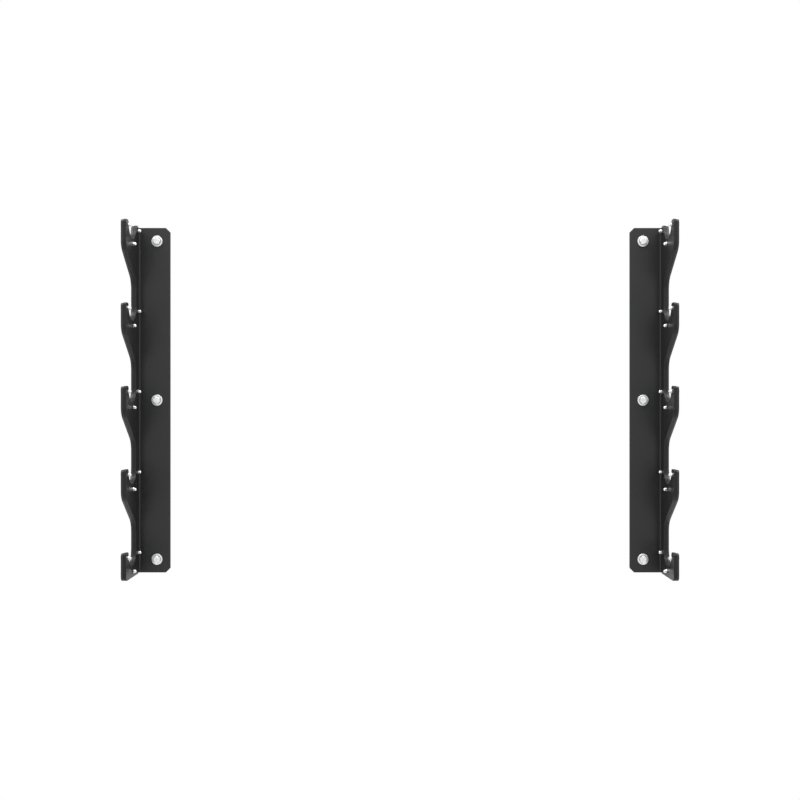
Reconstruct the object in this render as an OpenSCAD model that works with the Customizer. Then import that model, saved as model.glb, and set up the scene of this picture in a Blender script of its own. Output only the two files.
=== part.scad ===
// Wall-mounted barbell storage rack: a pair of steel brackets with upturned
// hooks, each lined with a black plastic plate where the bars rest.
//
// X runs along the wall, -Y points away from it into the room and +Z is up.
// The wall's surface is Y = 0. The origin is the middle of the four corner
// lag screws.
//
// A bracket is drawn in its own axes: x from its outer face inwards, y out of
// the wall and z up. Flat outlines of it are drawn as [out of the wall, up].

/* [Rack] */
// Width over the outer faces of the two brackets
rack_width = 1067; // [700:1:1300]
// Number of hooks on each bracket
hook_count = 5; // [2:1:8]
// Height from one hook to the next
hook_pitch = 160; // [150:1:220]

/* [Steel brackets] */
// Thickness of the bent steel plate
steel_t = 5; // [3:0.5:8]
// Inside radius of the bend between the web and the wall flange
bend_r = 7.5; // [5:0.5:12]
// Width of the wall flange, from the web's outer face
flange_w = 71.6; // [60:0.2:100]
// Chamfer on the flange's two free corners
flange_chamfer = 9; // [3:1:20]

/* [Hooks] */
// Depth of the upright web behind the notches, from the wall
web_depth = 35.5; // [32:0.5:60]
// Width of a notch, which has a round bottom
notch_w = 61.5; // [45:0.5:70]
// Height of a hook's tip above the centre of its notch
tip_rise = 0; // [0:0.5:12]
// Thickness of a hook's tip in front of its notch
tip_t = 20; // [16:1:30]
// Radius on a tip's front corner and on the one at its notch
tip_r = 5.5; // [3:0.5:7]
// Straight front of a hook, down from the top of its tip
front_h = 40; // [34:1:50]
// Radius where the front turns in below the hook
shoulder_r = 26; // [16:1:32]
// Slope under a hook, in degrees from upright
under_angle = 55; // [45:1:62]
// Radius where that slope runs into the upright web
root_r = 32; // [16:1:45]
// Height of the lowest hook, from the top of its tip to the bracket's foot
last_hook_h = 53; // [48:1:60]
// Radius on the outer corners of web and liner
corner_r = 9; // [3:0.5:11]

/* [Plastic liners] */
// Thickness of a liner
liner_t = 5.5; // [3:0.5:10]
// How far a liner stands proud of the steel, in its notches and at its tips
liner_proud = 1; // [0.5:0.1:3]
// Gap between a liner's rear edge and the start of the bend
liner_setback = 0.3; // [0.1:0.1:5]

/* [Liner fasteners] */
// Thread diameter of the liner screws
screw_d = 4; // [3:0.5:5]
// Diameter of their round heads
screw_head_d = 8; // [7:0.5:10]
// Height of their round heads
screw_head_h = 2.8; // [2:0.1:4]
// Width across the flats of the hexagon socket in a head
socket_af = 2.5; // [2:0.5:3.5]
// Width across the flats of a cap nut
nut_af = 7; // [7:0.5:10]
// Height of a cap nut, dome included
nut_h = 8; // [7:0.5:12]
// Height of a cap nut's hexagon
nut_hex_h = 3.2; // [2.5:0.1:3.5]
// How far a screw reaches into its cap nut
nut_grip = 5; // [3:0.1:5.5]
// Distance of the liner screws from the edge of the notch
screw_margin = 10; // [7:0.5:11]
// Depth of the two upper liner screws below the top of the tip
screw_drop = 9.5; // [8:0.5:12]

/* [Wall fasteners] */
// Diameter of a lag screw
lag_d = 8; // [6:0.5:10]
// Length of a lag screw under its head
lag_len = 65; // [40:1:100]
// Length of a lag screw's point
lag_point = 10; // [5:1:15]
// How much slimmer than its thread a lag screw is in the washer and the flange, all round
lag_neck_step = 0.5; // [0.2:0.1:1]
// Width across the flats of a lag screw's head
lag_head_af = 13; // [12:0.5:17]
// Height of a lag screw's head
lag_head_h = 5.5; // [4:0.5:8]
// Outer diameter of a washer
washer_d = 22; // [18:1:30]
// Thickness of a washer
washer_t = 1.8; // [1:0.2:3]
// Distance of the lag screws from a bracket's outer face
lag_from_face = 45; // [36:1:52]
// Distance of the end lag screws from the bracket's ends
lag_from_end = 27; // [18:1:50]

/* [Fits] */
// Gap round a lag screw in its holes
lag_gap = 0.5; // [0.2:0.1:1]
// Gap round a liner screw in its holes
screw_gap = 0.25; // [0.1:0.05:0.5]
// Gap between a liner screw and the bore of its cap nut
thread_gap = 0.05; // [0.02:0.01:0.1]

/* [Hidden] */
$fn = 96;
sides = ["left", "right"];
lag_rows = ["top", "middle", "bottom"];

// Past each face that a cut goes through
cut = 1;
// Rim of a liner screw's head, below its dome
head_rim = 0.6;
// Depth of the socket in a liner screw's head
socket_depth = 1.4;
// Step from a cap nut's flats in to its dome
dome_step = 0.25;
// Depth left free past the end of a screw in its cap nut
nut_spare = 0.5;
// Blunt end of a lag screw's point
lag_blunt_r = 0.5;
// Slope of the chamfer on a hexagon, from its end face, and the face's share of the flats
hex_chamfer = 30;
hex_face = 0.95;

bracket_h = (hook_count - 1) * hook_pitch + last_hook_h;
bracket_top = bracket_h / 2;
bracket_foot = -bracket_h / 2;
reach = web_depth + notch_w + tip_t;
bend_outer = bend_r + steel_t;
notch_r = notch_w / 2;
hook_tops = [for (i = [0 : hook_count - 1]) bracket_top - i * hook_pitch];
lag_heights = [bracket_top - lag_from_end, 0, bracket_foot + lag_from_end];

// Liner screws of one hook, from the top of its tip: behind, under and in front of the notch
screw_places = [
    [web_depth - screw_margin, -screw_drop],
    [web_depth + notch_r, -tip_rise - notch_r - screw_margin],
    [reach - tip_t / 2, -screw_drop]
];

// The liner's outline is the full one. The steel's lies liner_proud inside it at notches and tips.
function notch_radius(inset) = notch_r + inset / 2;
function notch_centre(inset) = [web_depth + notch_radius(inset), -tip_rise - inset / 2];
function tip_top(inset) = liner_proud - inset;

// How far in front of a notch's centre, or behind it, a corner's round of radius r has its own
function corner_run(inset, r) =
    let (drop = notch_centre(inset).y - tip_top(inset) + r)
    sqrt(pow(notch_radius(inset) + r, 2) - drop * drop);

// Moves a bracket's own axes to its place on the wall
module on_side(s) {
    mirror([s == "left" ? 1 : 0, 0, 0])
        translate([rack_width / 2, 0, 0])
            rotate([0, 0, 180])
                children();
}

// Turns an outline drawn as [out of the wall, up] into a plate from x = from to x = to
module plate(from, to) {
    translate([from, 0, 0])
        rotate([90, 0, 90])
            linear_extrude(to - from)
                children();
}

// What a rounded corner takes away, turned to 0 for upper right, 90 upper left, 180, 270
module corner_waste(corner, turn) {
    translate(corner)
        rotate([0, 0, turn])
            translate([-corner_r, -corner_r])
                difference() {
                    square(corner_r + cut);
                    circle(corner_r);
                }
}

// One hook with its notch, joined to the web behind it, from the top of its tip
module hook(rear, inset, last) {
    r = notch_radius(inset);
    c = notch_centre(inset);
    top = tip_top(inset);
    tip_front = [reach - tip_r, top - tip_r];
    tip_back = [c.x + corner_run(inset, tip_r), top - tip_r];
    tip_touch = c + r * (tip_back - c) / norm(tip_back - c);
    shoulder = [reach - shoulder_r, -front_h];
    slope_start = shoulder + shoulder_r * [cos(under_angle), -sin(under_angle)];
    slope_end = [web_depth, slope_start.y - (slope_start.x - web_depth) / tan(under_angle)];
    root_run = root_r * tan(under_angle / 2);
    root_start = slope_end + root_run * [sin(under_angle), cos(under_angle)];
    root_end = slope_end - [0, root_run];
    below = last
        ? [[rear, -last_hook_h], [reach, -last_hook_h]]
        : [[rear, root_end.y], root_end, root_start, slope_start, [reach, -front_h]];
    difference() {
        union() {
            polygon(concat([c, [rear, c.y]], below, [
                [reach, tip_front.y], tip_front, [tip_front.x, top],
                [tip_back.x, top], tip_back, tip_touch
            ]));
            if (!last)
                translate(shoulder)
                    circle(shoulder_r);
        }
        translate(c)
            circle(r);
        if (last)
            corner_waste([reach, -last_hook_h], 270);
        else
            translate(root_end + [root_r, 0])
                circle(root_r);
    }
    for (p = [tip_front, tip_back])
        translate(p)
            circle(tip_r);
}

// What the round on top of the web takes away, between its top edge and the first notch
module web_top_waste(inset) {
    c = notch_centre(inset);
    top = tip_top(inset);
    round_at = [c.x - corner_run(inset, corner_r), top - corner_r];
    difference() {
        polygon([round_at, [round_at.x, top + cut], [c.x, top + cut], c]);
        translate(round_at)
            circle(corner_r);
    }
}

// Whole side outline: the upright web and its hooks
module side_outline(rear, inset) {
    difference() {
        union() {
            translate([rear, bracket_foot])
                square([web_depth - rear, bracket_h + tip_top(inset)]);
            for (i = [0 : hook_count - 1])
                translate([0, hook_tops[i]])
                    hook(rear, inset, i == hook_count - 1);
        }
        translate([0, bracket_top])
            web_top_waste(inset);
    }
}

// Section through the bent plate, seen from above
module angle_section() {
    translate([bend_outer, 0])
        square([flange_w - bend_outer, steel_t]);
    translate([0, bend_outer])
        square([steel_t, reach - bend_outer]);
    translate([bend_outer, bend_outer])
        intersection() {
            difference() {
                circle(bend_outer);
                circle(bend_r);
            }
            translate([-bend_outer, -bend_outer])
                square(bend_outer);
        }
}

// Holes for all liner screws, through a plate from x = from to x = to
module liner_screw_holes(from, to) {
    for (top = hook_tops, p = screw_places)
        translate([from - cut, p.x, top + p.y])
            rotate([0, 90, 0])
                cylinder(h = to - from + 2 * cut, r = screw_d / 2 + screw_gap);
}

// One steel bracket, cut from plate and bent
module bracket() {
    color("#303132")
        difference() {
            intersection() {
                linear_extrude(bracket_h, center = true)
                    angle_section();
                plate(-cut, flange_w + cut)
                    side_outline(0, liner_proud);
            }
            for (up = [-1, 1])
                translate([0, steel_t + cut, 0])
                    rotate([90, 0, 0])
                        linear_extrude(steel_t + 2 * cut)
                            polygon([
                                [flange_w - flange_chamfer - cut, up * (bracket_top + cut)],
                                [flange_w + cut, up * (bracket_top - flange_chamfer - cut)],
                                [flange_w + cut, up * (bracket_top + cut)]
                            ]);
            for (z = lag_heights)
                translate([lag_from_face, -cut, z])
                    rotate([-90, 0, 0])
                        cylinder(h = steel_t + 2 * cut, r = lag_d / 2 + lag_gap);
            liner_screw_holes(0, steel_t);
        }
}

// One plastic liner, flat against the inner face of its bracket's web
module liner() {
    rear = bend_outer + liner_setback;
    face = steel_t + liner_t;
    color("#1d1d1e")
        difference() {
            plate(steel_t, face)
                difference() {
                    side_outline(rear, 0);
                    corner_waste([rear, bracket_top + liner_proud], 90);
                    corner_waste([rear, bracket_foot], 180);
                }
            liner_screw_holes(steel_t, face);
        }
}

// Hexagon with the chamfer that nuts and screw heads have on their outer end
module hexagon(af, h) {
    intersection() {
        cylinder(h = h, r = af / (2 * cos(30)), $fn = 6);
        cylinder(h = h, r1 = hex_face * af / 2 + h / tan(hex_chamfer), r2 = hex_face * af / 2);
    }
}

// Places a lag screw or its washer: z = 0 is the flange's front face, +z points into the room
module at_lag(row) {
    translate([lag_from_face, steel_t, lag_heights[row]])
        rotate([-90, 0, 0])
            children();
}

// One lag screw, its head seated on its washer. Its thread starts at the wall's surface
module lag_screw() {
    neck = washer_t + steel_t;
    color("#c9cbcc")
        translate([0, 0, washer_t]) {
            hexagon(lag_head_af, lag_head_h);
            translate([0, 0, -neck])
                cylinder(h = neck, r = lag_d / 2 - lag_neck_step);
            translate([0, 0, lag_point - lag_len])
                cylinder(h = lag_len - lag_point - neck, r = lag_d / 2);
            translate([0, 0, -lag_len])
                cylinder(h = lag_point, r1 = lag_blunt_r, r2 = lag_d / 2);
        }
}

// One plain washer under a lag screw's head
module washer() {
    color("#d2d4d5")
        difference() {
            cylinder(h = washer_t, r = washer_d / 2);
            translate([0, 0, -cut])
                cylinder(h = washer_t + 2 * cut, r = lag_d / 2 + lag_gap);
        }
}

// Places the three fasteners of hook i at x = at, each turned its own way. +z points inwards
module at_liner_screws(i, at) {
    for (k = [0 : len(screw_places) - 1])
        translate([at, screw_places[k].x, hook_tops[i] + screw_places[k].y])
            rotate([0, 90, 0])
                rotate([0, 0, 17 * i + 23 * k])
                    children();
}

// One round-headed screw, its head on the web's outer face
module liner_screw() {
    dome_h = screw_head_h - head_rim;
    dome_r = (pow(screw_head_d / 2, 2) + dome_h * dome_h) / (2 * dome_h);
    color("#b9bbbc")
        difference() {
            union() {
                cylinder(h = steel_t + liner_t + nut_grip, r = screw_d / 2);
                translate([0, 0, -head_rim])
                    cylinder(h = head_rim, r = screw_head_d / 2);
                intersection() {
                    translate([0, 0, dome_r - screw_head_h])
                        sphere(dome_r);
                    translate([0, 0, -screw_head_h - cut])
                        cylinder(h = dome_h + cut, r = screw_head_d);
                }
            }
            translate([0, 0, -screw_head_h - cut])
                cylinder(h = socket_depth + cut, r = socket_af / (2 * cos(30)), $fn = 6);
        }
}

// One cap nut, seated on the liner's inner face
module cap_nut() {
    dome_r = nut_af / 2 - dome_step;
    color("#dcdedf")
        difference() {
            union() {
                hexagon(nut_af, nut_hex_h);
                cylinder(h = nut_h - dome_r, r = dome_r);
                translate([0, 0, nut_h - dome_r])
                    sphere(dome_r);
            }
            translate([0, 0, -cut - dome_r])
                cylinder(h = cut + dome_r + nut_grip + nut_spare, r = screw_d / 2 + thread_gap);
        }
}

for (s = sides) {
    on_side(s) bracket();
    on_side(s) liner();
    for (r = [0 : len(lag_rows) - 1]) {
        name = str(s, "_", lag_rows[r]);
        on_side(s) at_lag(r) lag_screw();
        on_side(s) at_lag(r) washer();
    }
    for (i = [0 : hook_count - 1]) {
        name = str(s, "_hook_", i + 1);
        on_side(s) at_liner_screws(i, 0) liner_screw();
        on_side(s) at_liner_screws(i, steel_t + liner_t) cap_nut();
    }
}
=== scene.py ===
# Looks of a wall-mounted barbell storage rack: two bent steel brackets with upturned
# hooks, each lined with a black plastic plate. Metres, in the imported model's frame: the
# wall is y = 0, -y points into the room and z is up.
import math

import bmesh
import bpy
from mathutils import Euler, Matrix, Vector


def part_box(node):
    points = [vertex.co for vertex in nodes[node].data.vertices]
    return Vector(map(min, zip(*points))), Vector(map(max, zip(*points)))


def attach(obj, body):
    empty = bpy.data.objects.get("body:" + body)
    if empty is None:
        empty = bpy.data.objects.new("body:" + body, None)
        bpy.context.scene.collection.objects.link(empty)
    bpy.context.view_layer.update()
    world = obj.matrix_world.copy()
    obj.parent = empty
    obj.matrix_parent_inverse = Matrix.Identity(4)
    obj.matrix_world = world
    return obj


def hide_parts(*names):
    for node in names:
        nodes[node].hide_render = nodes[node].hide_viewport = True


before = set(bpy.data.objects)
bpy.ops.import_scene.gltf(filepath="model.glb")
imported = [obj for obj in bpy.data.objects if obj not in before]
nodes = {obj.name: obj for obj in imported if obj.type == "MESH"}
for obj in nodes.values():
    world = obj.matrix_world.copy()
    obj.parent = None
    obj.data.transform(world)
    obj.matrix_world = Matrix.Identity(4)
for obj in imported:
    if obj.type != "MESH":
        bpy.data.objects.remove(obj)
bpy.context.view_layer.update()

# Steel brackets
# Each is one 5 mm plate, cut, bent to an angle and powder coated a satin black. Its flange
# lies on the wall and its web stands out of it, cut into five hooks.
MM = 0.001
SIDES = {"left": 1, "right": -1}  # the way along x from a bracket to the middle of the rack
ROWS = ("top", "middle", "bottom")
HOOKS = range(1, 6)
STEEL_EDGE = 0.7 * MM
WASHER_COVER = 8 * MM  # radius round a lag screw that its washer hides
HEAD_COVER = 3.2 * MM  # radius round a liner screw that its head or its nut hides
SAME_POINT = 0.001 * MM
FLAT_TO = math.radians(0.5)  # faces that turn less than this are one flat face
EASED_FROM = math.radians(40)  # edges that turn more than this are eased
SHARP_FROM = math.radians(35)  # edges that turn more than this are shaded sharp
NOISE_LOW, NOISE_HIGH = 0.3, 0.7  # nearly all values of a noise lie between these


def baked(piece):
    """The piece with its modifiers turned into a plain mesh."""
    bpy.context.view_layer.update()
    result = piece.evaluated_get(bpy.context.evaluated_depsgraph_get())
    mesh = bpy.data.meshes.new_from_object(result)
    piece.modifiers.clear()
    piece.data = mesh
    return piece


def finished_plate(node, name, edge_r, covered):
    """A copy of a plate's CAD mesh with its edges eased to edge_r.

    covered holds (point, axis, radius) of the holes that stay sharp, because a head hides them.
    """
    mesh = nodes[node].data.copy()
    bm = bmesh.new()
    bm.from_mesh(mesh)
    bmesh.ops.remove_doubles(bm, verts=bm.verts, dist=SAME_POINT)
    bmesh.ops.dissolve_limit(bm, angle_limit=FLAT_TO, verts=bm.verts, edges=bm.edges)
    weight = bm.edges.layers.float.new("bevel_weight_edge")
    for edge in bm.edges:
        middle = (edge.verts[0].co + edge.verts[1].co) / 2
        hidden = any(
            ((middle - point) - (middle - point).dot(axis) * axis).length < radius
            for point, axis, radius in covered
        )
        turns = len(edge.link_faces) == 2 and edge.calc_face_angle(0) > EASED_FROM
        edge[weight] = 1.0 if turns and not hidden else 0.0
    bm.to_mesh(mesh)
    bm.free()
    plate = bpy.data.objects.new(name, mesh)
    bpy.context.scene.collection.objects.link(plate)
    bevel = plate.modifiers.new("eased edges", "BEVEL")
    bevel.limit_method = "WEIGHT"
    bevel.width = edge_r
    bevel.segments = 3
    bevel.use_clamp_overlap = False
    even = plate.modifiers.new("even shading", "WEIGHTED_NORMAL")
    even.keep_sharp = True
    mesh.polygons.foreach_set("use_smooth", [True] * len(mesh.polygons))
    mesh.set_sharp_from_angle(angle=SHARP_FROM)
    return baked(plate)


def solids(node):
    """Lowest and highest corner of each separate solid in a CAD node, from the top down."""
    bm = bmesh.new()
    bm.from_mesh(nodes[node].data)
    bmesh.ops.remove_doubles(bm, verts=bm.verts, dist=SAME_POINT)
    left = set(bm.verts)
    found = []
    while left:
        stack = [left.pop()]
        island = []
        while stack:
            vert = stack.pop()
            island.append(vert.co.copy())
            for edge in vert.link_edges:
                other = edge.other_vert(vert)
                if other in left:
                    left.remove(other)
                    stack.append(other)
        corners = [[pick(co[axis] for co in island) for axis in range(3)] for pick in (min, max)]
        found.append(tuple(Vector(corner) for corner in corners))
    bm.free()
    return sorted(found, key=lambda box: (-box[0].z, box[0].y))


def lag_holes(side):
    """(point, axis, radius) of the flange's holes, which the washers hide."""
    holes = []
    for row in ROWS:
        low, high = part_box(f"{side}_{row}_washer")
        holes.append(((low + high) / 2, Vector((0, 1, 0)), WASHER_COVER))
    return holes


def screw_holes(side):
    """(point, axis, radius) of the liner screws' holes, which their heads and nuts hide."""
    return [
        ((low + high) / 2, Vector((1, 0, 0)), HEAD_COVER)
        for hook in HOOKS
        for low, high in solids(f"{side}_hook_{hook}_cap_nuts")
    ]


def new_material(name):
    """A node material: (material, its tree, its Principled shader)."""
    material = bpy.data.materials.new(name)
    material.use_nodes = True
    return material, material.node_tree, material.node_tree.nodes["Principled BSDF"]


def group_with(name, inputs, outputs):
    """A shader group with these (name, kind) sockets: (tree, its inputs, its outputs)."""
    tree = bpy.data.node_groups.new(name, "ShaderNodeTree")
    for label, kind in inputs:
        tree.interface.new_socket(label, in_out="INPUT", socket_type=kind)
    for label, kind in outputs:
        tree.interface.new_socket(label, in_out="OUTPUT", socket_type=kind)
    start = tree.nodes.new("NodeGroupInput")
    end = tree.nodes.new("NodeGroupOutput")
    return tree, start.outputs, end.inputs


# Fine relief of a coated or moulded face, and slow changes of tone over it
surface_grain, grain_in, grain_out = group_with(
    "surface grain",
    [("Vector", "NodeSocketVector"), ("Grain Size", "NodeSocketFloat"), ("Tone Size", "NodeSocketFloat")],
    [("Height", "NodeSocketFloat"), ("Tone", "NodeSocketFloat")],
)
for size, out, detail in (("Grain Size", "Height", 2.0), ("Tone Size", "Tone", 5.0)):
    per_metre = surface_grain.nodes.new("ShaderNodeMath")
    per_metre.operation = "DIVIDE"
    per_metre.inputs[0].default_value = 1.0
    surface_grain.links.new(grain_in[size], per_metre.inputs[1])
    noise = surface_grain.nodes.new("ShaderNodeTexNoise")
    noise.inputs["Detail"].default_value = detail
    surface_grain.links.new(grain_in["Vector"], noise.inputs["Vector"])
    surface_grain.links.new(per_metre.outputs[0], noise.inputs["Scale"])
    surface_grain.links.new(noise.outputs["Fac"], grain_out[out])


def grained(name, dark, light, rough, grain, tone, relief, distance, specular):
    """A satin black finish: tone runs from dark to light, roughness from rough[0] to rough[1]."""
    material, tree, shader = new_material(name)
    spot = tree.nodes.new("ShaderNodeTexCoord")
    texture = tree.nodes.new("ShaderNodeGroup")
    texture.node_tree = surface_grain
    texture.inputs["Grain Size"].default_value = grain
    texture.inputs["Tone Size"].default_value = tone
    tree.links.new(spot.outputs["Object"], texture.inputs["Vector"])
    colour = tree.nodes.new("ShaderNodeMix")
    colour.data_type = "RGBA"
    colour.inputs["A"].default_value = (*dark, 1)
    colour.inputs["B"].default_value = (*light, 1)
    tree.links.new(texture.outputs["Tone"], colour.inputs["Factor"])
    tree.links.new(colour.outputs["Result"], shader.inputs["Base Color"])
    gloss = tree.nodes.new("ShaderNodeMapRange")
    gloss.inputs["From Min"].default_value = NOISE_LOW
    gloss.inputs["From Max"].default_value = NOISE_HIGH
    gloss.inputs["To Min"].default_value = rough[0]
    gloss.inputs["To Max"].default_value = rough[1]
    tree.links.new(texture.outputs["Tone"], gloss.inputs["Value"])
    tree.links.new(gloss.outputs["Result"], shader.inputs["Roughness"])
    bump = tree.nodes.new("ShaderNodeBump")
    bump.inputs["Strength"].default_value = relief
    bump.inputs["Distance"].default_value = distance
    tree.links.new(texture.outputs["Height"], bump.inputs["Height"])
    tree.links.new(bump.outputs["Normal"], shader.inputs["Normal"])
    shader.inputs["Specular IOR Level"].default_value = specular
    return material


powder_coat = grained(
    "black powder coat",
    dark=(0.016, 0.016, 0.0165),
    light=(0.0235, 0.0235, 0.024),
    rough=(0.27, 0.34),
    grain=0.7 * MM,
    tone=45 * MM,
    relief=0.5,
    distance=0.16 * MM,
    specular=0.38,
)

for side in SIDES:
    bracket = finished_plate(
        f"{side}_bracket", f"{side}_steel_bracket", STEEL_EDGE, lag_holes(side) + screw_holes(side)
    )
    bracket.data.materials.clear()
    bracket.data.materials.append(powder_coat)
    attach(bracket, "root")
    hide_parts(f"{side}_bracket")

# Plastic liners
# A black polyethylene plate on the inner face of each web, milled to its outline and a
# millimetre proud of the steel in the notches, so that a bar touches only plastic.
LINER_EDGE = 0.45 * MM
liner_plastic = grained(
    "black polyethylene",
    dark=(0.0135, 0.0135, 0.014),
    light=(0.0205, 0.0205, 0.021),
    rough=(0.33, 0.42),
    grain=0.35 * MM,
    tone=60 * MM,
    relief=0.4,
    distance=0.06 * MM,
    specular=0.25,
)

for side in SIDES:
    liner = finished_plate(f"{side}_liner", f"{side}_plastic_liner", LINER_EDGE, screw_holes(side))
    liner.data.materials.clear()
    liner.data.materials.append(liner_plastic)
    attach(liner, "root")
    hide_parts(f"{side}_liner")

# Lag screws
# Three to a bracket: hexagon heads on washers, zinc plated. A slim neck passes the washer
# and the flange, and the rolled wood thread behind it runs down to a gimlet point.
ROUND = 1.0  # the half width across flats that a profile's round rows have: more than any radius
HEX_HALF = math.radians(30)  # half the turn from one corner of a hexagon to the next
HEX_FACE = 0.95  # a chamfered hexagon's end face, as a share of its width across flats
CHAMFER = math.radians(30)
CREASE_FROM = math.radians(32)  # edges that turn more than this are shaded sharp
JOINED = 0.004 * MM  # how near the seam's and the axis's points are before they are one
THREAD_PITCH = 3.4 * MM
THREAD_DEPTH = 1.1 * MM
THREAD_ROWS = 250
CREST_HEIGHT = 1.2  # of the depth, before it is cut off at the thread's outer radius
CREST_FALL = 5.5  # of the depth, for each pitch from the crest's middle
THREAD_LEAST_R = 0.4 * MM  # a thread cuts no nearer to the axis than this


def turned_tree():
    """Turns a profile into a solid. Each of its vertices is (radius, half width across flats, height)."""
    tree = bpy.data.node_groups.new("turned fastener", "GeometryNodeTree")
    for label, kind, value in (
        ("Geometry", "NodeSocketGeometry", None),
        ("Rows", "NodeSocketInt", None),
        ("Steps Round", "NodeSocketInt", None),
        ("Thread Pitch", "NodeSocketFloat", THREAD_PITCH),
        ("Thread Depth", "NodeSocketFloat", 0.0),
        ("Thread From", "NodeSocketFloat", 0.0),
        ("Thread To", "NodeSocketFloat", 0.0),
        ("Material", "NodeSocketMaterial", None),
    ):
        socket = tree.interface.new_socket(label, in_out="INPUT", socket_type=kind)
        if value is not None:
            socket.default_value = value
    tree.interface.new_socket("Geometry", in_out="OUTPUT", socket_type="NodeSocketGeometry")
    given = tree.nodes.new("NodeGroupInput").outputs
    result = tree.nodes.new("NodeGroupOutput").inputs

    def put(socket, value):
        if isinstance(value, bpy.types.NodeSocket):
            tree.links.new(value, socket)
        else:
            socket.default_value = value

    def math_node(operation, *values, clamp=False):
        node = tree.nodes.new("ShaderNodeMath")
        node.operation = operation
        node.use_clamp = clamp
        for socket, value in zip(node.inputs, values):
            put(socket, value)
        return node.outputs[0]

    # A grid with a row for each row of the profile and a column for each step round
    grid = tree.nodes.new("GeometryNodeMeshGrid")
    put(grid.inputs["Vertices X"], math_node("ADD", given["Steps Round"], 1.0))
    put(grid.inputs["Vertices Y"], given["Rows"])
    index = tree.nodes.new("GeometryNodeInputIndex").outputs[0]
    row = math_node("FLOORED_MODULO", index, given["Rows"])
    column = math_node("FLOOR", math_node("DIVIDE", math_node("ADD", index, 0.5), given["Rows"]))
    angle = math_node("MULTIPLY", math_node("DIVIDE", column, given["Steps Round"]), math.tau)
    profile = tree.nodes.new("GeometryNodeSampleIndex")
    profile.data_type = "FLOAT_VECTOR"
    put(profile.inputs["Geometry"], given["Geometry"])
    put(profile.inputs["Value"], tree.nodes.new("GeometryNodeInputPosition").outputs[0])
    put(profile.inputs["Index"], row)
    point = tree.nodes.new("ShaderNodeSeparateXYZ")
    put(point.inputs[0], profile.outputs["Value"])
    radius, flat, height = point.outputs

    # Flats: the radius is no more than flat / cos(angle from the middle of the nearest flat)
    off = math_node("SUBTRACT", math_node("FLOORED_MODULO", angle, 2 * HEX_HALF), HEX_HALF)
    hexagon = math_node("DIVIDE", flat, math_node("COSINE", off))
    radius = math_node("MINIMUM", radius, hexagon)

    # Thread: a groove winds round between its two heights and runs out at both. The crest
    # between its turns has sloping sides and is cut off at the outer radius
    turn = math_node("DIVIDE", angle, math.tau)
    along = math_node("ADD", math_node("DIVIDE", height, given["Thread Pitch"]), turn)
    across = math_node("ABSOLUTE", math_node("SUBTRACT", math_node("FRACT", along), 0.5))
    fall = math_node("MULTIPLY", across, CREST_FALL)
    crest = math_node("SUBTRACT", CREST_HEIGHT, fall, clamp=True)
    groove = math_node("SUBTRACT", 1.0, crest)
    from_start = math_node("SUBTRACT", height, given["Thread From"])
    run_in = math_node("DIVIDE", from_start, given["Thread Pitch"], clamp=True)
    to_end = math_node("SUBTRACT", given["Thread To"], height)
    run_out = math_node("DIVIDE", to_end, given["Thread Pitch"], clamp=True)
    depth = math_node("MULTIPLY", given["Thread Depth"], math_node("MULTIPLY", run_in, run_out))
    cut = math_node("SUBTRACT", radius, math_node("MULTIPLY", depth, groove))
    radius = math_node("MAXIMUM", cut, math_node("MINIMUM", radius, THREAD_LEAST_R))

    spot = tree.nodes.new("ShaderNodeCombineXYZ")
    put(spot.inputs[0], math_node("MULTIPLY", radius, math_node("COSINE", angle)))
    put(spot.inputs[1], math_node("MULTIPLY", radius, math_node("SINE", angle)))
    put(spot.inputs[2], height)
    bent = tree.nodes.new("GeometryNodeSetPosition")
    put(bent.inputs["Geometry"], grid.outputs["Mesh"])
    put(bent.inputs["Position"], spot.outputs[0])
    closed = tree.nodes.new("GeometryNodeMergeByDistance")
    put(closed.inputs["Geometry"], bent.outputs["Geometry"])
    put(closed.inputs["Distance"], JOINED)
    real = tree.nodes.new("GeometryNodeRealizeInstances")
    put(real.inputs["Geometry"], closed.outputs["Geometry"])
    coat = tree.nodes.new("GeometryNodeSetMaterial")
    put(coat.inputs["Geometry"], real.outputs["Geometry"])
    put(coat.inputs["Material"], given["Material"])
    put(result["Geometry"], coat.outputs["Geometry"])
    return tree


def placed_tree():
    """Sets a copy of one fastener on each point, turned as the point's facing says."""
    tree = bpy.data.node_groups.new("placed fasteners", "GeometryNodeTree")
    for label, kind in (
        ("Geometry", "NodeSocketGeometry"),
        ("Fastener", "NodeSocketObject"),
        ("Material", "NodeSocketMaterial"),
    ):
        tree.interface.new_socket(label, in_out="INPUT", socket_type=kind)
    tree.interface.new_socket("Geometry", in_out="OUTPUT", socket_type="NodeSocketGeometry")
    given = tree.nodes.new("NodeGroupInput").outputs
    result = tree.nodes.new("NodeGroupOutput").inputs
    fastener = tree.nodes.new("GeometryNodeObjectInfo")
    tree.links.new(given["Fastener"], fastener.inputs["Object"])
    facing = tree.nodes.new("GeometryNodeInputNamedAttribute")
    facing.data_type = "FLOAT_VECTOR"
    facing.inputs["Name"].default_value = "facing"
    turn = tree.nodes.new("FunctionNodeEulerToRotation")
    tree.links.new(facing.outputs["Attribute"], turn.inputs["Euler"])
    copies = tree.nodes.new("GeometryNodeInstanceOnPoints")
    tree.links.new(given["Geometry"], copies.inputs["Points"])
    tree.links.new(fastener.outputs["Geometry"], copies.inputs["Instance"])
    tree.links.new(turn.outputs["Rotation"], copies.inputs["Rotation"])
    real = tree.nodes.new("GeometryNodeRealizeInstances")
    tree.links.new(copies.outputs["Instances"], real.inputs["Geometry"])
    coat = tree.nodes.new("GeometryNodeSetMaterial")
    tree.links.new(real.outputs["Geometry"], coat.inputs["Geometry"])
    tree.links.new(given["Material"], coat.inputs["Material"])
    tree.links.new(coat.outputs["Geometry"], result["Geometry"])
    return tree


turned_fastener = turned_tree()
placed_fasteners = placed_tree()


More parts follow.
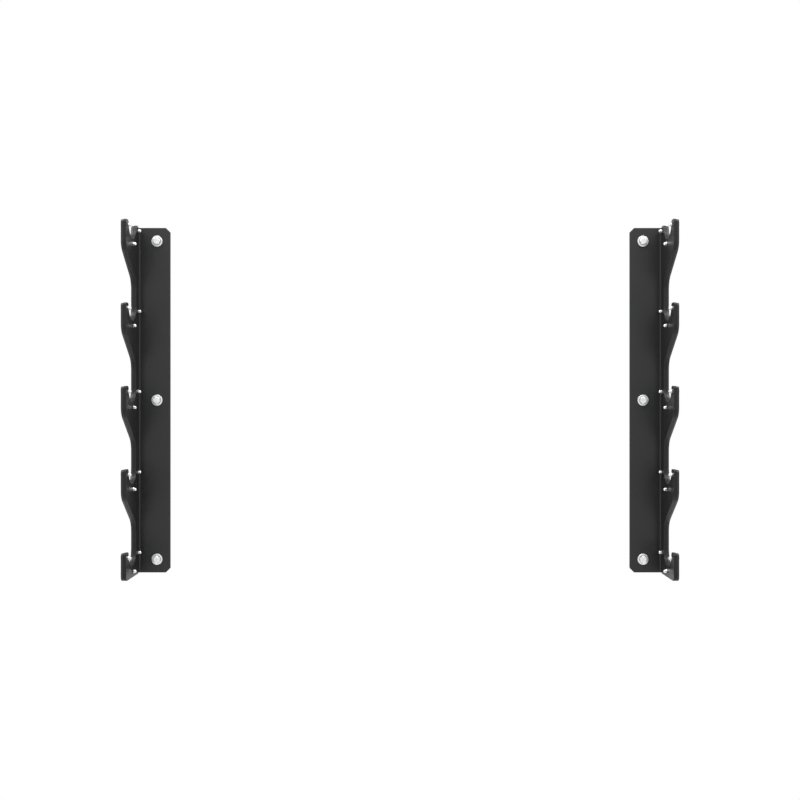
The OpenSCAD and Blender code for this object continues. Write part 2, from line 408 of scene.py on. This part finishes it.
def with_nodes(piece, tree, values):
    """Runs a geometry tree on the piece with these inputs, and keeps the result as its mesh."""
    modifier = piece.modifiers.new(tree.name, "NODES")
    modifier.node_group = tree
    for item in tree.interface.items_tree:
        if item.item_type == "SOCKET" and item.in_out == "INPUT" and item.name in values:
            modifier[item.identifier] = values[item.name]
    return baked(piece)


def turned(name, profile, material, steps, **thread):
    """A fastener turned from its profile, standing on its own z axis at the origin."""
    mesh = bpy.data.meshes.new(name)
    mesh.from_pydata(profile, [(row, row + 1) for row in range(len(profile) - 1)], [])
    piece = bpy.data.objects.new(name, mesh)
    bpy.context.scene.collection.objects.link(piece)
    values = {"Rows": len(profile), "Steps Round": steps, "Material": material}
    values.update({label.replace("_", " ").title(): value for label, value in thread.items()})
    with_nodes(piece, turned_fastener, values)
    bm = bmesh.new()
    bm.from_mesh(piece.data)
    bmesh.ops.dissolve_degenerate(bm, edges=bm.edges, dist=SAME_POINT)
    bmesh.ops.recalc_face_normals(bm, faces=bm.faces)
    for face in bm.faces:
        face.smooth = True
    thread_end = thread.get("thread_to", -math.inf)
    for edge in bm.edges:
        in_thread = max(vert.co.z for vert in edge.verts) < thread_end
        edge.smooth = in_thread or edge.calc_face_angle(0) < CREASE_FROM
    bm.to_mesh(piece.data)
    bm.free()
    return piece


def place(name, fastener, places, material, node):
    """Copies of one fastener at places, each (point, way its z axis points, turn in degrees)."""
    mesh = bpy.data.meshes.new(name)
    mesh.from_pydata([point for point, _, _ in places], [], [])
    facing = mesh.attributes.new("facing", "FLOAT_VECTOR", "POINT")
    for item, (_, way, turn) in zip(facing.data, places):
        about_axis = Euler((0, 0, math.radians(turn))).to_quaternion()
        item.vector = (Vector(way).to_track_quat("Z", "Y") @ about_axis).to_euler()
    piece = bpy.data.objects.new(name, mesh)
    bpy.context.scene.collection.objects.link(piece)
    with_nodes(piece, placed_fasteners, {"Fastener": fastener, "Material": material})
    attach(piece, "root")
    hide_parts(node)


def chamfer(flat, height, way, steps):
    """Profile rows of a hexagon's chamfered end: out from its face at height and up for way 1,
    up and in to it for way -1."""
    corner = flat / math.cos(HEX_HALF)
    face = HEX_FACE * flat
    rise = (corner - face) * math.tan(CHAMFER)
    rows = []
    for step in range(steps + 1):
        out = step / steps if way > 0 else 1 - step / steps
        rows.append((face + (corner - face) * out, flat, height + way * rise * out))
    return rows


# Bright plating: patches of a duller tone and a rougher skin, painted shade in the corners between
# pieces, and fine wipe marks
PATCH_FROM, PATCH_TO = 0.38, 0.68  # values of the noise between which a patch grows duller
MARK_SIZE = 0.5 * MM
MARK_DEPTH = 0.02 * MM
PAINTED_SHADE_REACH = 5 * MM  # how far from a corner between two pieces the painted shade reaches
PAINTED_SHADE_SHUT, PAINTED_SHADE_OPEN = 0.45, 0.95  # how open the place is where the painted shade is full and where it is gone
PAINTED_SHADE_TONE = 0.22  # tone of the painted shade, as a share of the dull tone
plating, plating_in, plating_out = group_with(
    "plating",
    [
        ("Vector", "NodeSocketVector"),
        ("Bright", "NodeSocketColor"),
        ("Dull", "NodeSocketColor"),
        ("Painted Shade", "NodeSocketColor"),
        ("Smooth", "NodeSocketFloat"),
        ("Rough", "NodeSocketFloat"),
        ("Patch Size", "NodeSocketFloat"),
    ],
    [("Color", "NodeSocketColor"), ("Roughness", "NodeSocketFloat"), ("Height", "NodeSocketFloat")],
)
per_metre = plating.nodes.new("ShaderNodeMath")
per_metre.operation = "DIVIDE"
per_metre.inputs[0].default_value = 1.0
plating.links.new(plating_in["Patch Size"], per_metre.inputs[1])
patches = plating.nodes.new("ShaderNodeTexNoise")
patches.inputs["Detail"].default_value = 4.0
plating.links.new(plating_in["Vector"], patches.inputs["Vector"])
plating.links.new(per_metre.outputs[0], patches.inputs["Scale"])
tone = plating.nodes.new("ShaderNodeMapRange")
tone.inputs["From Min"].default_value = PATCH_FROM
tone.inputs["From Max"].default_value = PATCH_TO
plating.links.new(patches.outputs["Fac"], tone.inputs["Value"])
colour = plating.nodes.new("ShaderNodeMix")
colour.data_type = "RGBA"
plating.links.new(tone.outputs["Result"], colour.inputs["Factor"])
plating.links.new(plating_in["Bright"], colour.inputs["A"])
plating.links.new(plating_in["Dull"], colour.inputs["B"])
# Painted shade: ambient occlusion darkens the colour in the corners and creases between pieces, where
# shade falls
corner_shade = plating.nodes.new("ShaderNodeAmbientOcclusion")
corner_shade.inputs["Distance"].default_value = PAINTED_SHADE_REACH
unshaded = plating.nodes.new("ShaderNodeMapRange")
unshaded.inputs["From Min"].default_value = PAINTED_SHADE_SHUT
unshaded.inputs["From Max"].default_value = PAINTED_SHADE_OPEN
plating.links.new(corner_shade.outputs["AO"], unshaded.inputs["Value"])
painted_shade = plating.nodes.new("ShaderNodeMix")
painted_shade.data_type = "RGBA"
plating.links.new(unshaded.outputs["Result"], painted_shade.inputs["Factor"])
plating.links.new(plating_in["Painted Shade"], painted_shade.inputs["A"])
plating.links.new(colour.outputs["Result"], painted_shade.inputs["B"])
plating.links.new(painted_shade.outputs["Result"], plating_out["Color"])
gloss = plating.nodes.new("ShaderNodeMix")
plating.links.new(tone.outputs["Result"], gloss.inputs["Factor"])
plating.links.new(plating_in["Smooth"], gloss.inputs["A"])
plating.links.new(plating_in["Rough"], gloss.inputs["B"])
plating.links.new(gloss.outputs["Result"], plating_out["Roughness"])
marks = plating.nodes.new("ShaderNodeTexNoise")
marks.inputs["Scale"].default_value = 1 / MARK_SIZE
marks.inputs["Detail"].default_value = 2.0
plating.links.new(plating_in["Vector"], marks.inputs["Vector"])
plating.links.new(marks.outputs["Fac"], plating_out["Height"])


def plated(name, bright, dull, rough, patch, relief):
    """A plated steel finish, with painted shade darkening its corners. Its patches run from bright and
    rough[0] to dull and rough[1]."""
    material, tree, shader = new_material(name)
    spot = tree.nodes.new("ShaderNodeTexCoord")
    coat = tree.nodes.new("ShaderNodeGroup")
    coat.node_tree = plating
    coat.inputs["Bright"].default_value = (*bright, 1)
    coat.inputs["Dull"].default_value = (*dull, 1)
    # the dark tone of the painted shade in the corners, a share of the dull tone
    coat.inputs["Painted Shade"].default_value = (*(PAINTED_SHADE_TONE * value for value in dull), 1)
    coat.inputs["Smooth"].default_value = rough[0]
    coat.inputs["Rough"].default_value = rough[1]
    coat.inputs["Patch Size"].default_value = patch
    tree.links.new(spot.outputs["Object"], coat.inputs["Vector"])
    tree.links.new(coat.outputs["Color"], shader.inputs["Base Color"])
    tree.links.new(coat.outputs["Roughness"], shader.inputs["Roughness"])
    bump = tree.nodes.new("ShaderNodeBump")
    bump.inputs["Strength"].default_value = relief
    bump.inputs["Distance"].default_value = MARK_DEPTH
    tree.links.new(coat.outputs["Height"], bump.inputs["Height"])
    tree.links.new(bump.outputs["Normal"], shader.inputs["Normal"])
    shader.inputs["Metallic"].default_value = 1.0
    return material


zinc_lag = plated(
    "zinc plate on lag screws",
    bright=(0.94, 0.95, 0.96),
    dull=(0.84, 0.85, 0.86),
    rough=(0.24, 0.38),
    patch=7 * MM,
    relief=0.3,
)

# Heights run outwards from the washer's front face, where the head is seated
head_low, head_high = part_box("left_middle_lag_screw")
washer_low, washer_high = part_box("left_middle_washer")
LAG_HEAD_H = washer_low.y - head_low.y
LAG_LENGTH = head_high.y - washer_low.y
LAG_FLAT = (head_high.z - head_low.z) / 2
LAG_R = 4.0 * MM
LAG_NECK_R = 3.5 * MM
LAG_NECK_EDGE = 0.2 * MM
LAG_NECK_END = washer_low.y  # the wall's surface, where the thread starts
LAG_POINT = 10 * MM
LAG_POINT_R = 0.5 * MM
LAG_SEAT = 0.93  # share of the width across flats on which the head is seated
LAG_HEAD_EDGE = 0.35 * MM
LAG_HEAD_DISH = 0.08 * MM
lag_profile = [(0, ROUND, -LAG_LENGTH), (LAG_POINT_R, ROUND, -LAG_LENGTH)]
for step in range(1, THREAD_ROWS + 1):
    height = -LAG_LENGTH + (LAG_LENGTH + LAG_NECK_END) * step / THREAD_ROWS
    taper = min(1.0, (height + LAG_LENGTH) / LAG_POINT)
    lag_profile.append((LAG_POINT_R + (LAG_R - LAG_POINT_R) * taper, ROUND, height))
lag_profile += [
    (LAG_NECK_R, ROUND, LAG_NECK_END + LAG_NECK_EDGE),
    (LAG_NECK_R, ROUND, 0),
    (LAG_SEAT * LAG_FLAT, ROUND, 0),
    (LAG_FLAT / math.cos(HEX_HALF), LAG_FLAT, LAG_HEAD_EDGE),
    *chamfer(LAG_FLAT, LAG_HEAD_H, -1, 6),
    (HEX_FACE * LAG_FLAT - LAG_HEAD_EDGE, ROUND, LAG_HEAD_H),
    (0, ROUND, LAG_HEAD_H - LAG_HEAD_DISH),
]
lag = turned(
    "lag screw",
    lag_profile,
    zinc_lag,
    steps=60,
    thread_pitch=THREAD_PITCH,
    thread_depth=THREAD_DEPTH,
    thread_from=-LAG_LENGTH + LAG_POINT_R,
    thread_to=LAG_NECK_END,
)
LAG_TURNS = (12, -18, 24)  # degrees, as far as each happened to be driven
for side, inward in SIDES.items():
    for row, turn in zip(ROWS, LAG_TURNS):
        node = f"{side}_{row}_lag_screw"
        low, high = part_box(node)
        seat = Vector(((low.x + high.x) / 2, washer_low.y, (low.z + high.z) / 2))
        place(node + "_zinc", lag, [(seat, (0, -1, 0), turn * inward)], zinc_lag, node)
bpy.data.objects.remove(lag)

# Washers
# One plain washer under each lag screw's head, stamped, so that its front rim is rolled
# over, and zinc plated.
zinc_washer = plated(
    "zinc plate on washers",
    bright=(0.95, 0.96, 0.97),
    dull=(0.87, 0.88, 0.89),
    rough=(0.24, 0.38),
    patch=9 * MM,
    relief=0.35,
)


def arc(centre, radius, start, end, steps):
    """Round profile rows on an arc about (radius, height), from start to end in degrees from level."""
    rows = []
    for step in range(steps + 1):
        angle = math.radians(start + (end - start) * step / steps)
        rows.append((centre[0] + radius * math.cos(angle), ROUND, centre[1] + radius * math.sin(angle)))
    return rows


WASHER_T = washer_high.y - washer_low.y
WASHER_R = (washer_high.z - washer_low.z) / 2
WASHER_BACK_EDGE = 0.1 * MM
WASHER_RIM = 0.45 * MM
WASHER_HOLE_R = 4.5 * MM
WASHER_HOLE_EDGE = 0.2 * MM
washer_profile = [
    (WASHER_HOLE_R, ROUND, 0),
    (WASHER_R - WASHER_BACK_EDGE, ROUND, 0),
    (WASHER_R, ROUND, WASHER_BACK_EDGE),
    *arc((WASHER_R - WASHER_RIM, WASHER_T - WASHER_RIM), WASHER_RIM, 0, 90, 4),
    (WASHER_HOLE_R + WASHER_HOLE_EDGE, ROUND, WASHER_T),
    (WASHER_HOLE_R, ROUND, WASHER_T - WASHER_HOLE_EDGE),
    (WASHER_HOLE_R, ROUND, 0),
]
washer = turned("washer", washer_profile, zinc_washer, steps=72)
for side in SIDES:
    for row in ROWS:
        node = f"{side}_{row}_washer"
        low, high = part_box(node)
        seat = Vector(((low.x + high.x) / 2, high.y, (low.z + high.z) / 2))
        place(node + "_zinc", washer, [(seat, (0, -1, 0), 0)], zinc_washer, node)
bpy.data.objects.remove(washer)

# Liner screws
# Three to a hook, put in from the web's outer face: low round heads with a hexagon socket,
# zinc plated. Their ends are hidden in the cap nuts.
TURN_BY_HOOK, TURN_BY_PLACE = 17, 23  # degrees, so that no two screws of a hook stand alike
zinc_screw = plated(
    "zinc plate on liner screws",
    bright=(0.74, 0.75, 0.77),
    dull=(0.56, 0.57, 0.59),
    rough=(0.26, 0.40),
    patch=3 * MM,
    relief=0.25,
)

# Heights run outwards from the web's outer face
screw_low, screw_high = solids("left_hook_1_liner_screws")[0]
SCREW_HEAD_H = 2.8 * MM  # at the middle of its dome, which the socket takes away
SCREW_HEAD_R = (screw_high.z - screw_low.z) / 2
SCREW_RIM = 0.6 * MM
SCREW_EDGE = 0.12 * MM
SCREW_R = 2.0 * MM
SCREW_END = screw_high.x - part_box("left_bracket")[0].x
SCREW_END_EDGE = 0.3 * MM
SOCKET_FLAT = 1.25 * MM
SOCKET_DEPTH = 1.4 * MM
SOCKET_CONE = 0.4 * MM
SOCKET_RIM = 0.35 * MM
socket_corner = SOCKET_FLAT / math.cos(HEX_HALF)
dome_h = SCREW_HEAD_H - SCREW_RIM
dome_r = (SCREW_HEAD_R**2 + dome_h**2) / (2 * dome_h)
dome_start = math.degrees(math.acos(SCREW_HEAD_R / dome_r))
dome_end = math.degrees(math.acos((socket_corner + SOCKET_RIM) / dome_r))
socket_top = SCREW_HEAD_H - dome_r + dome_r * math.sin(math.radians(dome_end))
screw_profile = [
    (0, ROUND, -SCREW_END),
    (SCREW_R - SCREW_END_EDGE, ROUND, -SCREW_END),
    (SCREW_R, ROUND, -SCREW_END + SCREW_END_EDGE),
    (SCREW_R, ROUND, 0),
    (SCREW_HEAD_R - SCREW_EDGE, ROUND, 0),
    (SCREW_HEAD_R, ROUND, SCREW_EDGE),
    *arc((0, SCREW_HEAD_H - dome_r), dome_r, dome_start, dome_end, 8),
    (socket_corner + SCREW_EDGE, ROUND, socket_top),
    (socket_corner, SOCKET_FLAT, socket_top - SCREW_EDGE),
    (socket_corner, SOCKET_FLAT, SCREW_HEAD_H - SOCKET_DEPTH),
    (0, ROUND, SCREW_HEAD_H - SOCKET_DEPTH - SOCKET_CONE),
]
liner_screw = turned("liner screw", screw_profile, zinc_screw, steps=36)
for side, inward in SIDES.items():
    web_low, web_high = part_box(f"{side}_bracket")
    outer = web_low.x if inward > 0 else web_high.x
    for hook in HOOKS:
        node = f"{side}_hook_{hook}_liner_screws"
        places = []
        for count, (low, high) in enumerate(solids(node)):
            seat = Vector((outer, (low.y + high.y) / 2, (low.z + high.z) / 2))
            places.append((seat, (-inward, 0, 0), TURN_BY_HOOK * hook + TURN_BY_PLACE * count))
        place(node + "_zinc", liner_screw, places, zinc_screw, node)
bpy.data.objects.remove(liner_screw)

# Cap nuts
# One on the inner end of each liner screw: a small hexagon with a domed cap, nickel
# plated, tight against the plastic.
nickel = plated(
    "nickel plate",
    bright=(0.86, 0.86, 0.85),
    dull=(0.70, 0.70, 0.69),
    rough=(0.16, 0.28),
    patch=3 * MM,
    relief=0.12,
)

# Heights run outwards from the liner's inner face
nut_low, nut_high = solids("left_hook_1_cap_nuts")[0]
NUT_H = nut_high.x - nut_low.x
NUT_FLAT = 3.5 * MM
NUT_HEX_H = 3.2 * MM
NUT_BORE_R = 2.05 * MM
NUT_BORE_DEPTH = 5.5 * MM
CAP_STEP = 0.25 * MM
CAP_R = NUT_FLAT - CAP_STEP
nut_profile = [
    (0, ROUND, NUT_BORE_DEPTH),
    (NUT_BORE_R, ROUND, NUT_BORE_DEPTH),
    (NUT_BORE_R, ROUND, 0),
    (HEX_FACE * NUT_FLAT, ROUND, 0),
    *chamfer(NUT_FLAT, 0, 1, 4),
    *chamfer(NUT_FLAT, NUT_HEX_H, -1, 4),
    (CAP_R, ROUND, NUT_HEX_H),
    *arc((0, NUT_H - CAP_R), CAP_R, 0, 90, 9),
]
cap_nut = turned("cap nut", nut_profile, nickel, steps=36)
for side, inward in SIDES.items():
    for hook in HOOKS:
        node = f"{side}_hook_{hook}_cap_nuts"
        places = []
        for count, (low, high) in enumerate(solids(node)):
            inner = low.x if inward > 0 else high.x
            seat = Vector((inner, (low.y + high.y) / 2, (low.z + high.z) / 2))
            places.append((seat, (inward, 0, 0), TURN_BY_HOOK * hook + TURN_BY_PLACE * count))
        place(node + "_nickel", cap_nut, places, nickel, node)
bpy.data.objects.remove(cap_nut)

# Floor
# A plain pale studio floor well below the rack, which ends a little behind the wall's plane.
# It glows for the rays that look straight at it, so that it is one with the white background
# but keeps the rack's faint shadow.
FLOOR_Z = -1.3
FLOOR_R = 9.0
FLOOR_MIDDLE = -7.8
FLOOR_GLOW = 0.6
floor_mesh = bpy.data.meshes.new("floor")
bm = bmesh.new()
bmesh.ops.create_circle(bm, cap_ends=True, segments=96, radius=FLOOR_R)
bmesh.ops.translate(bm, verts=bm.verts, vec=(0, FLOOR_MIDDLE, FLOOR_Z))
bm.to_mesh(floor_mesh)
bm.free()
floor = bpy.data.objects.new("floor", floor_mesh)
bpy.context.scene.collection.objects.link(floor)
paint, tree, shader = new_material("pale floor paint")
shader.inputs["Base Color"].default_value = (0.82, 0.82, 0.82, 1)
shader.inputs["Roughness"].default_value = 0.6


def straight_rays(tree):
    """1 for camera, glossy and transmission rays, which show the white surroundings, otherwise 0."""
    path = tree.nodes.new("ShaderNodeLightPath")
    straight = path.outputs["Is Camera Ray"]
    for kind in ("Is Glossy Ray", "Is Transmission Ray"):
        either = tree.nodes.new("ShaderNodeMath")
        either.operation = "MAXIMUM"
        tree.links.new(straight, either.inputs[0])
        tree.links.new(path.outputs[kind], either.inputs[1])
        straight = either.outputs[0]
    return straight


glow = tree.nodes.new("ShaderNodeEmission")
glow.inputs["Strength"].default_value = FLOOR_GLOW
both = tree.nodes.new("ShaderNodeAddShader")
tree.links.new(shader.outputs[0], both.inputs[0])
tree.links.new(glow.outputs[0], both.inputs[1])
shown = tree.nodes.new("ShaderNodeMixShader")
tree.links.new(straight_rays(tree), shown.inputs[0])
tree.links.new(shader.outputs[0], shown.inputs[1])
tree.links.new(both.outputs[0], shown.inputs[2])
tree.links.new(shown.outputs[0], tree.nodes["Material Output"].inputs["Surface"])
floor.data.materials.append(paint)

# Light and background
# White all round for the rays that look straight at it. The light of the room is brightest in
# front, above and at both sides, and a softbox hangs over the rack, a little in front of it.
AMBIENT = 0.06
FRONT = 0.70
ABOVE = 0.30
ASIDE = 0.45
world = bpy.data.worlds.new("studio")
bpy.context.scene.world = world
world.use_nodes = True
tree = world.node_tree
tree.nodes.clear()
sky = tree.nodes.new("ShaderNodeTexCoord")


def lobe(axis, start, end, strength):
    """Light that grows as its direction turns towards axis, while their cosine goes from start to end."""
    towards = tree.nodes.new("ShaderNodeVectorMath")
    towards.operation = "DOT_PRODUCT"
    towards.inputs[1].default_value = Vector(axis).normalized()
    tree.links.new(sky.outputs["Generated"], towards.inputs[0])
    node = tree.nodes.new("ShaderNodeMapRange")
    node.interpolation_type = "SMOOTHSTEP"
    node.inputs["From Min"].default_value = start
    node.inputs["From Max"].default_value = end
    node.inputs["To Max"].default_value = strength
    tree.links.new(towards.outputs["Value"], node.inputs["Value"])
    return node.outputs["Result"]


total = None
for part in (
    lobe((0, -1, 0.36), 0.60, 0.98, FRONT),
    lobe((0, -0.3, 1), 0.2, 0.95, ABOVE),
    lobe((0.85, 0.5, 0.1), 0.55, 0.95, ASIDE),
    lobe((-0.85, 0.5, 0.1), 0.55, 0.95, ASIDE),
):
    add = tree.nodes.new("ShaderNodeMath")
    add.operation = "ADD"
    add.inputs[1].default_value = AMBIENT
    if total is not None:
        tree.links.new(total, add.inputs[1])
    tree.links.new(part, add.inputs[0])
    total = add.outputs[0]
room = tree.nodes.new("ShaderNodeBackground")
tree.links.new(total, room.inputs["Strength"])
white = tree.nodes.new("ShaderNodeBackground")
white.inputs["Color"].default_value = (1, 1, 1, 1)
white.inputs["Strength"].default_value = 1.0
shown = tree.nodes.new("ShaderNodeMixShader")
tree.links.new(straight_rays(tree), shown.inputs[0])
tree.links.new(room.outputs[0], shown.inputs[1])
tree.links.new(white.outputs[0], shown.inputs[2])
out = tree.nodes.new("ShaderNodeOutputWorld")
tree.links.new(shown.outputs[0], out.inputs["Surface"])

lamp = bpy.data.lights.new("softbox", "AREA")
lamp.shape = "RECTANGLE"
lamp.size = 3.2
lamp.size_y = 0.7
lamp.energy = 36
softbox = bpy.data.objects.new("softbox", lamp)
bpy.context.scene.collection.objects.link(softbox)
softbox.location = (0, -0.55, 1.25)
softbox.rotation_euler = (math.radians(22), 0, 0)

# Camera
# Straight in front, at the rack's mid-height and midway between its brackets.
lens = bpy.data.cameras.new("camera")
lens.lens = 50.0
lens.sensor_width = 36.0
camera = bpy.data.objects.new("camera", lens)
bpy.context.scene.collection.objects.link(camera)
camera.location = (0, -2.239, 0.0004)
camera.rotation_euler = (math.radians(90), 0, 0)
bpy.context.scene.camera = camera
bpy.context.scene.view_settings.view_transform = "Standard"
